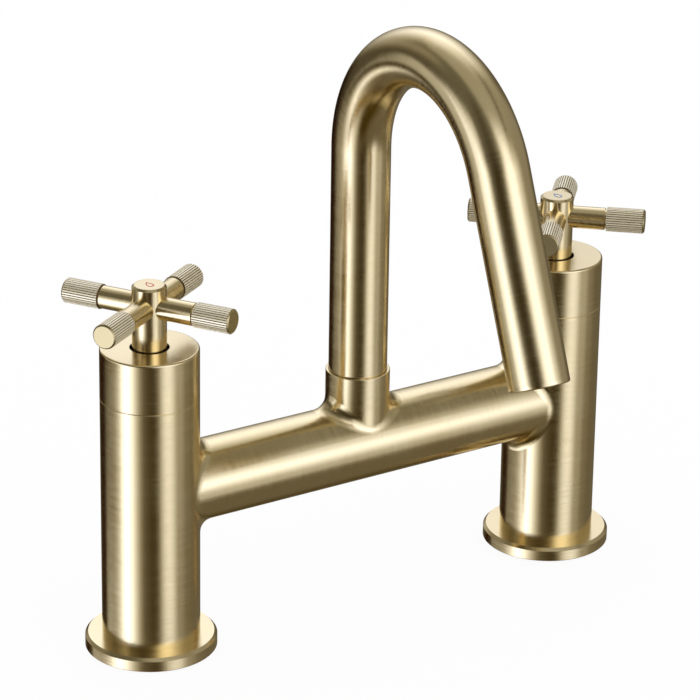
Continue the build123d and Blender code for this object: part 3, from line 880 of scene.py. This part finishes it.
@dataclass
class CrossHandle:
    """Hub with four arms, fluted grips and the mark in its top."""

    side: Side
    hub_top: float = 0.1432
    arms: int = 4
    grip_start: float = 0.0193
    grip_end: float = 0.03385
    grip_chamfer: float = 0.0006
    spigot_radius: float = 0.00315
    spigot_length: float = 0.01255
    flutes: int = 32
    flute_depth: float = 0.00030
    flute_half_width: float = 0.00023
    mark_length: float = 0.0048
    mark_width: float = 0.0027
    mark_line: float = 0.0004
    mark_height: float = 0.00004
    mark_root: float = 0.00001
    mark_steps: int = 72

    def flute(self) -> bpy.types.Mesh:
        """One flute with half a land on each side, as a wedge of the grip round the X axis.

        Returns:
            The wedge's outer skin, its two end faces and its bore, open on the two cut sides.
        """
        pitch, half = FULL_TURN / self.flutes, self.flute_half_width / GRIP_RADIUS
        middle = self.flute_depth * 0.5
        stations = (
            (-pitch / 2, 0.0),
            (-half, 0.0),
            (-half * 0.5, middle),
            (0.0, self.flute_depth),
            (half * 0.5, middle),
            (half, 0.0),
            (pitch / 2, 0.0),
        )
        bottom = self.grip_start + self.spigot_length
        rings = []
        for angle, cut in stations:
            wall = GRIP_RADIUS - cut
            column = (
                (self.grip_start, self.spigot_radius),
                (self.grip_start, wall),
                (self.grip_end - self.grip_chamfer + cut, wall),
                (self.grip_end, GRIP_RADIUS - self.grip_chamfer),
                (self.grip_end, 0.0),
                (bottom, 0.0),
                (bottom, self.spigot_radius),
            )
            rings.append([(x, r * math.cos(angle), r * math.sin(angle)) for x, r in column])
        # This edge of the columns lies on the grip's axis, so it has no face.
        on_axis = 4
        return skinned("flute", rings, on_axis)

    @staticmethod
    def recipe(material: bpy.types.Material) -> Recipe:
        """Tree that repeats a flute round an arm's axis, and the finished grip round the hub's.

        Args:
            material: The grips' finish.

        Returns:
            The tree.
        """
        tree = Recipe("fluted_grips")
        flute = Signal(tree, tree.entry.outputs["Geometry"])
        flutes, arms = tree.size("Flutes", "Int"), tree.size("Arms", "Int")
        station, height = tree.size("Station"), tree.size("Height")
        turn = tree.size("Turn")
        grip = tree.merged(tree.repeated(flute, flutes, "X", 0.0))
        all_grips = tree.repeated(grip, arms, "Z", turn)
        place = {"Geometry": all_grips, "Translation": tree.joined(station, 0.0, height)}
        tree.close(tree.signal("GeometryNodeTransform", place), material)
        return tree

    def mark(self) -> bpy.types.Mesh:
        """Outline of a water drop, a thin raised line on the cap with its tip to the back.

        Returns:
            The mesh.
        """
        inner = 1.0 - self.mark_line / self.mark_width * 2
        top, root = self.hub_top + self.mark_height, self.hub_top - self.mark_root
        # The drop's curve is 1.54 wide before it is scaled. The inner outline is set back, so that
        # the line is as thick at the tip.
        widest, sink = 1.54, self.mark_length * 0.12
        rings = []
        for scale, height in ((1.0, root), (1.0, top), (inner, top), (inner, root)):
            ring = []
            for step in range(self.mark_steps):
                turn = FULL_TURN * step / self.mark_steps
                across = math.sin(turn) * abs(math.sin(turn / 2)) * self.mark_width / widest
                along = math.cos(turn) * self.mark_length / 2
                place = (self.side.station + across * scale, along * scale - sink * (1 - scale))
                ring.append((*place, height))
            rings.append(ring)
        return skinned("mark", rings)

    def build(self, finishes: Finishes) -> None:
        """Makes the grips and the mark, and dresses the rest of the handle.

        Args:
            finishes: The tap's finishes.
        """
        side = self.side
        mesh = self.recipe(finishes.grip[side]).mesh(
            self.flute(),
            Flutes=self.flutes,
            Arms=self.arms,
            Station=side.station,
            Height=ARM_AXIS_HEIGHT,
            Turn=math.radians(side.arm_turn),
        )
        grips = finished(f"{side.value}_fluted_grips", mesh, finishes.grip[side])
        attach(grips, side.handle_body)
        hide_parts(f"{side.value}_grips")
        mark = finished(f"{side.value}_drop_mark", self.mark(), finishes.marks[side])
        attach(mark, side.handle_body)
        dress(f"{side.value}_cross", finishes.cross[side])
        dress(f"{side.value}_index_cap", finishes.turned[side])
        log.info("%s handle: %d faces in its grips", side.value, len(mesh.polygons))


@dataclass
class Pillar:
    """What stands in and under one pillar: flange, shroud, valve, tail and back nut."""

    side: Side
    thread_radius: float = 0.01322
    thread_depth: float = 0.00116
    thread_pitch: float = 0.001814
    thread_crest: float = 0.12
    thread_flank: float = 0.76
    thread_rows: int = 8
    thread_around: int = 96
    sleeve_start: float = 0.0015
    core_depth: float = 0.98
    core_around: int = 128
    tail_foot: float = -0.0520
    thread_end: float = -0.0185
    engaged_radius: float = 0.01264
    shank_foot: float = -0.0050
    shank_top: float = 0.0010
    shank_radius: float = 0.0135
    spigot_top: float = 0.0140
    spigot_radius: float = 0.0120
    ring_groove_foot: float = 0.0095
    ring_groove_top: float = 0.01135
    ring_groove_radius: float = 0.0103
    bore_radius: float = 0.0090
    chamfer: float = 0.0003

    def thread_recipe(self, material: bpy.types.Material) -> Recipe:
        """Tree of a threaded sleeve: one grid is rolled round the axis, out and back inside.

        Args:
            material: The sleeve's finish.

        Returns:
            The tree.
        """
        tree = Recipe("pipe_thread")
        crest, depth, pitch = tree.size("Crest"), tree.size("Depth"), tree.size("Pitch")
        foot, top, inner = tree.size("Foot"), tree.size("Top"), tree.size("Inner radius")
        station, rows = tree.size("Station"), tree.size("Rows", "Int")
        around = tree.size("Around", "Int")
        # Rows climb the thread, the next two come back inside, and the last closes the ring.
        sheet, share, row = tree.rolled_grid(around, rows + 3.0)
        turn = share * FULL_TURN
        outside = (row < rows + 0.5) + (row > rows + 2.5)
        height = foot + row.least(rows) * (row < rows + 2.5) / rows * (top - foot)
        height = height + (row > rows + 1.5) * (foot - height)
        phase = (height / pitch - share).folded(0.5) * 2.0
        cut = ((phase - self.thread_crest) / self.thread_flank).most(0.0).least(1.0) * depth
        entry = (depth - (height - foot)).most(0.0).most(depth - (top - height))
        wall = crest - cut.most(entry)
        radius = inner + outside * (wall - inner)
        place = tree.joined(station + radius * turn.cosine(), radius * turn.sine(), height)
        laid = tree.signal("GeometryNodeSetPosition", {"Geometry": sheet, "Position": place})
        tree.close(tree.merged(laid), material)
        return tree

    def tail(self, material: bpy.types.Material) -> bpy.types.Object:
        """Tail with its sealing groove, plain shank, the stretch in the nut and the free thread.

        Args:
            material: The tail's finish.

        Returns:
            The piece.
        """
        root = self.thread_radius - self.thread_depth * self.core_depth
        profile = [
            (self.bore_radius, self.tail_foot),
            (root - self.chamfer, self.tail_foot),
            (root, self.tail_foot + self.chamfer),
            (root, self.thread_end),
            (self.engaged_radius, self.thread_end),
            (self.engaged_radius, self.shank_foot),
            (self.shank_radius, self.shank_foot),
            (self.shank_radius, self.shank_top),
            (self.spigot_radius, self.shank_top),
            (self.spigot_radius, self.ring_groove_foot),
            (self.ring_groove_radius, self.ring_groove_foot),
            (self.ring_groove_radius, self.ring_groove_top),
            (self.spigot_radius, self.ring_groove_top),
            (self.spigot_radius, self.spigot_top),
            (self.bore_radius, self.spigot_top),
        ]
        threaded = self.thread_end - self.tail_foot
        sleeve = self.thread_recipe(material).mesh(
            Crest=self.thread_radius,
            Depth=self.thread_depth,
            Pitch=self.thread_pitch,
            Foot=self.tail_foot,
            Top=self.thread_end,
            Inner_radius=self.bore_radius + self.sleeve_start,
            Station=self.side.station,
            Rows=round(threaded / self.thread_pitch * self.thread_rows),
            Around=self.thread_around,
        )
        whole = bmesh.new()
        whole.from_mesh(spun(profile, self.side.station, self.core_around))
        whole.from_mesh(sleeve)
        mesh = bpy.data.meshes.new("tail")
        whole.to_mesh(mesh)
        whole.free()
        return finished(f"{self.side.value}_threaded_tail", mesh, material)

    def build(self, finishes: Finishes) -> None:
        """Makes the threaded tail and dresses the pillar's other pieces.

        Args:
            finishes: The tap's finishes.
        """
        side = self.side
        tail = self.tail(finishes.by_slot["plain_brass"])
        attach(tail, "body")
        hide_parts(f"{side.value}_inlet_tail")
        dress(f"{side.value}_base_flange", finishes.turned[side])
        dress(f"{side.value}_shroud", finishes.turned[side])
        log.info("%s tail: %d faces", side.value, len(tail.data.polygons))


@dataclass
class BridgeBody:
    """The casting: both pillars, the bridge and the spout's boss."""

    node: str = "bridge_body"

    def build(self, finishes: Finishes) -> None:
        """Dresses the casting and every piece that keeps the finish of its slot.

        Args:
            finishes: The tap's finishes.
        """
        dress(self.node, finishes.body)
        for name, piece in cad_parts.items():
            slot = piece.data.materials[0].name.split(".")[0] if piece.data.materials else ""
            if slot in finishes.by_slot:
                dress(name, finishes.by_slot[slot])


def dress(node: str, material: bpy.types.Material) -> None:
    """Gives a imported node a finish.

    Args:
        node: The node's name.
        material: The finish.
    """
    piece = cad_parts[node]
    for slot in piece.material_slots:
        slot.material = material


# ---------------------------------------------------------------------------------------------
# Studio
# ---------------------------------------------------------------------------------------------


def facing(azimuth: float, elevation: float) -> Vector:
    """Unit vector from the tap towards an azimuth and elevation in radians."""
    level = math.cos(elevation)
    return Vector((math.sin(azimuth) * level, -math.cos(azimuth) * level, math.sin(elevation)))


def rolled(level: Vector, upward: Vector, roll: float) -> tuple[Vector, Vector]:
    """A level and an upward direction after a turn of roll radians in their plane."""
    right = level * math.cos(roll) + upward * math.sin(roll)
    return right, upward * math.cos(roll) - level * math.sin(roll)


@dataclass(frozen=True)
class Softbox:
    """A soft rectangular panel of light far from the tap. Angles are in degrees.

    Azimuth 0 is in front of the tap (-Y) and 90 is beyond its cold pillar (+X). A strength below 0
    is a dark screen, which takes from the room's own shade.
    """

    azimuth: float
    elevation: float
    half_width: float
    half_height: float
    roll: float
    edge: float
    strength: float

    def glow(self, way: Signal) -> Signal:
        """How bright the panel is in a direction.

        Args:
            way: The direction, as a unit vector.

        Returns:
            The panel's light, 0 beside it.
        """
        azimuth, elevation, roll = map(math.radians, (self.azimuth, self.elevation, self.roll))
        level = Vector((math.cos(azimuth), math.sin(azimuth), 0.0))
        centre = facing(azimuth, elevation)
        right, up = rolled(level, centre.cross(level), roll)
        ahead = way.along(centre)
        depth = ahead.most(0.001)
        soft = math.tan(math.radians(self.edge))
        shine = (ahead > 0.0) * self.strength
        for axis, half in ((right, self.half_width), (up, self.half_height)):
            reach = math.tan(math.radians(half))
            shine = shine * (abs(way.along(axis)) / depth).ramped(reach + soft, reach - soft)
        return shine


@dataclass
class Studio:
    """Floor, soft light and the camera of the picture. Lens and sensor are in millimetres."""

    focal_length: float = 195.27
    sensor: float = 36.0
    near_and_far: Span = (0.05, 50.0)
    azimuth: float = -33.395
    elevation: float = 22.45
    roll: float = 0.879
    distance: float = 1.399981
    aim_height: float = 0.150
    aim_right: float = -0.002997
    aim_up: float = -0.047556
    floor_height: float = -0.0002
    floor_half: float = 6.0
    floor_colour: Colour = (0.97, 0.97, 0.97)
    floor_white: float = 0.93
    low_span: Span = (0.1, 0.9)
    high_span: Span = (0.1, 0.8)
    green_curve: Span = (1.05, 1.06)
    blue_curve: Span = (1.22, 1.28)
    darkest: Colour = (0.004, 0.003, 0.002)
    low_shade: Colour = (0.150, 0.130, 0.093)
    level_shade: Colour = (0.080, 0.069, 0.050)
    high_shade: Colour = (0.129, 0.121, 0.097)
    softboxes: tuple[Softbox, ...] = tuple(
        Softbox(*sizes)
        for sizes in (
            (-99.8, -4.8, 26.1, 11.8, -46.3, 4.0, 0.68),
            (-83.0, -30.5, 22.8, 3.3, 46.0, 27.0, 3.00),
            (-104.3, -7.3, 41.3, 13.9, -1.2, 4.0, 0.42),
            (22.1, 15.8, 3.9, 40.5, 39.4, 29.3, 1.79),
            (12.3, -25.5, 15.9, 3.0, -3.8, 8.9, 1.35),
            (150.9, 34.3, 13.9, 30.4, 44.7, 30.0, 1.59),
            (98.6, 0.3, 61.8, 54.8, 0.5, 4.0, 0.04),
            (18.5, 81.8, 53.3, 23.8, -103.2, 4.6, 0.23),
            (-86.4, 5.0, 8.7, 20.4, 34.1, 8.6, 0.77),
            (4.7, 2.3, 23.6, 19.7, -26.8, 11.5, 0.92),
            (-123.8, -35.2, 26.1, 4.1, -0.6, 6.5, 1.31),
            (-40.6, 12.7, 10.7, 51.2, 26.6, 5.9, -0.05),
            (-171.3, -20.7, 9.5, 28.2, 66.1, 4.9, -0.08),
            (72.7, 15.8, 30.4, 32.1, 30.2, 8.4, 0.15),
            (-154.8, 25.4, 26.4, 5.3, 46.1, 11.5, 0.21),
            (136.6, -51.2, 42.3, 7.1, 9.6, 8.3, -0.10),
            (-64.1, -65.8, 22.4, 30.6, -19.2, 13.1, -0.10),
            (-27.3, -24.0, 10.7, 15.5, 15.8, 5.4, -0.01),
        )
    )

    def camera(self) -> None:
        """Places the camera at the picture's viewing angle."""
        azimuth, elevation, roll = map(math.radians, (self.azimuth, self.elevation, self.roll))
        back = facing(azimuth, elevation)
        level = (-back).cross(Vector((0.0, 0.0, 1.0))).normalized()
        upward = level.cross(-back)
        right, up = rolled(level, upward, roll)
        aim = Vector((0.0, 0.0, self.aim_height)) + level * self.aim_right + upward * self.aim_up
        data = bpy.data.cameras.new("picture_camera")
        data.sensor_width, data.lens = self.sensor, self.focal_length
        data.clip_start, data.clip_end = self.near_and_far
        made = bpy.data.objects.new("picture_camera", data)
        turned = Matrix((right, up, back)).transposed().to_4x4()
        made.matrix_world = Matrix.Translation(aim + back * self.distance) @ turned
        bpy.context.scene.collection.objects.link(made)
        bpy.context.scene.camera = made

    def floor(self) -> None:
        """Lays the plain pale floor that the flanges stand on. It keeps the tap's shadow."""
        made = bpy.data.materials.new("pale_floor")
        bench = cleared(made)
        path = bench.node("ShaderNodeLightPath")
        seen = Signal(bench, path.outputs["Is Camera Ray"])
        lit = bench.signal("ShaderNodeBsdfDiffuse", {"Color": (*self.floor_colour, 1.0)})
        white = bench.signal("ShaderNodeEmission", {"Color": (*WHITE, 1.0), "Strength": 1.0})
        factor = seen * self.floor_white
        shown = bench.signal("ShaderNodeMixShader", {0: factor, 1: lit, 2: white})
        below = bench.signal("ShaderNodeBsdfTransparent")
        back = bench.signal("ShaderNodeNewGeometry", output="Backfacing")
        whole = bench.signal("ShaderNodeMixShader", {0: back, 1: shown, 2: below})
        bench.node("ShaderNodeOutputMaterial", {"Surface": whole})
        half, height = self.floor_half, self.floor_height
        corners = [(-half, -half), (half, -half), (half, half), (-half, half)]
        mesh = bpy.data.meshes.new("deck_floor")
        mesh.from_pydata([(x, y, height) for x, y in corners], [], [(0, 1, 2, 3)])
        mesh.materials.append(made)
        plane = bpy.data.objects.new("deck_floor", mesh)
        plane.visible_glossy = False
        bpy.context.scene.collection.objects.link(plane)
        plane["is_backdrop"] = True

    def world(self) -> None:
        """Fills the room: white for the camera and the floor, and soft panels for the metal."""
        made = bpy.data.worlds.new("studio")
        bpy.context.scene.world = made
        bench = cleared(made)
        way = bench.signal("ShaderNodeTexCoord", output="Generated")
        _, _, z = bench.parts(way)
        low, high = (-1.0 * z).ramped(*self.low_span), z.ramped(*self.high_span)
        shade = bench.blended(low, self.level_shade, self.low_shade)
        shade = bench.blended(high, shade, self.high_shade)
        shine: Signal | float = 0.0
        for box in self.softboxes:
            shine = box.glow(way) + shine
        lit, shut = shine.most(0.0), shine.least(0.0)
        green, blue = (
            lit**power * gain + shut for power, gain in (self.green_curve, self.blue_curve)
        )
        panels = bench.joined(shine, green, blue)
        light = bench.signal("ShaderNodeVectorMath", {0: shade, 1: panels}, operation="ADD")
        limits = {0: light, 1: self.darkest}
        light = bench.signal("ShaderNodeVectorMath", limits, operation="MAXIMUM")
        rays = bench.node("ShaderNodeLightPath")
        seen = Signal(bench, rays.outputs["Is Camera Ray"])
        seen = seen.most(Signal(bench, rays.outputs["Is Transmission Ray"]))
        soft = Signal(bench, rays.outputs["Is Diffuse Ray"])
        shown = bench.blended(seen, bench.blended(soft, light, WHITE), WHITE)
        sky = bench.signal("ShaderNodeBackground", {"Color": shown, "Strength": 1.0})
        bench.node("ShaderNodeOutputWorld", {"Surface": sky})

    def build(self) -> None:
        """Sets up the camera, the floor and the light."""
        self.camera()
        self.floor()
        self.world()
        bpy.context.scene.view_settings.view_transform = "Standard"


def box_lists() -> list[list[float]]:
    """The shown object's box now, as plain lists of its lowest and highest corner."""
    bpy.context.view_layer.update()
    return [list(corner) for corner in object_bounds()]


def main() -> None:
    """Builds the tap's looks and the studio, and works out the two sizes."""
    logging.basicConfig(level=logging.INFO, format="%(message)s")
    packed = box_lists()
    finishes = Finishes()
    BridgeBody().build(finishes)
    Spout().build(finishes)
    for side in Side:
        Pillar(side).build(finishes)
        CrossHandle(side).build(finishes)
    Studio().build()
    {"cad": packed, "visual": box_lists()}


if __name__ == "__main__":
    main()
